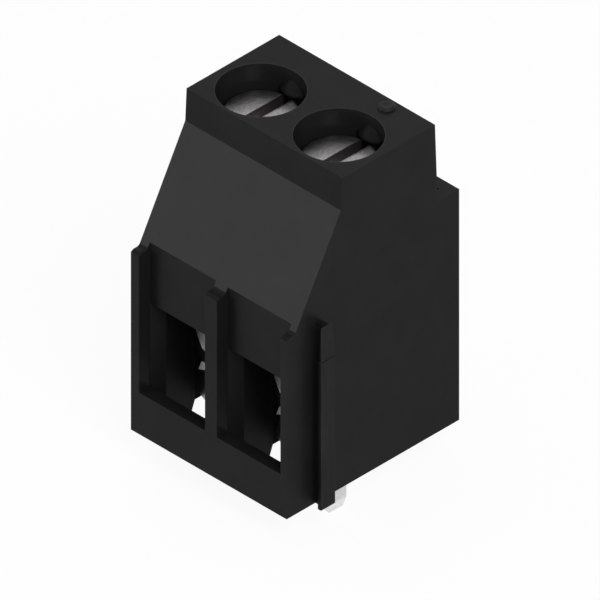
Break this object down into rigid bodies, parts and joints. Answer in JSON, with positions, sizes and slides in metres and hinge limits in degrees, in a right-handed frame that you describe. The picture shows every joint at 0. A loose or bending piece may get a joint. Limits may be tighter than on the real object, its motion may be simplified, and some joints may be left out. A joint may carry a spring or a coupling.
{
  "type": "pcb screw terminal",
  "caption": "Board-mounted screw terminal block with rising clamping yokes, front wire pockets, top screwdriver bores, a side joining rail and solder pins.",
  "frame": {"origin": "on the board face of the housing, midway between the two screw axes", "axes": "+X along the row of poles, towards the side rail; -Y towards the wire entries; +Z away from the board, along the screws"},
  "size_m": [0.0216, 0.0225, 0.0384],
  "materials": {
    "housing_plastic": "black moulded polyamide, satin",
    "screw_steel": "zinc plated steel, bright",
    "yoke_steel": "zinc plated steel strip",
    "tinned_strip": "tinned copper alloy strip, satin"
  },
  "bodies": {
    "housing": {"housing": "housing_plastic", "current_bar_1": "tinned_strip", "current_bar_2": "tinned_strip"},
    "clamp_screw_1": {"clamp_screw_1": "screw_steel"},
    "clamping_yoke_1": {"clamping_yoke_1": "yoke_steel"},
    "clamp_screw_2": {"clamp_screw_2": "screw_steel"},
    "clamping_yoke_2": {"clamping_yoke_2": "yoke_steel"}
  },
  "joints": [
    {"name": "screw_turn_1", "type": "hinge", "parent": "housing", "child": "clamp_screw_1", "pos_m": [-0.00508, 0, 0.01283], "axis": [0, 0, -1], "range_deg": [0, 5250]},
    {"name": "yoke_lift_1", "type": "slide", "parent": "housing", "child": "clamping_yoke_1", "axis": [0, 0, 1], "range_m": [0, 0.0102]},
    {"name": "screw_turn_2", "type": "hinge", "parent": "housing", "child": "clamp_screw_2", "pos_m": [0.00508, 0, 0.01283], "axis": [0, 0, -1], "range_deg": [0, 5250]},
    {"name": "yoke_lift_2", "type": "slide", "parent": "housing", "child": "clamping_yoke_2", "axis": [0, 0, 1], "range_m": [0, 0.0102]}
  ],
  "couplings": [
    {"joint": "screw_turn_1", "follows": "yoke_lift_1", "rad_per_m": 8976},
    {"joint": "screw_turn_2", "follows": "yoke_lift_2", "rad_per_m": 8976}
  ]
}
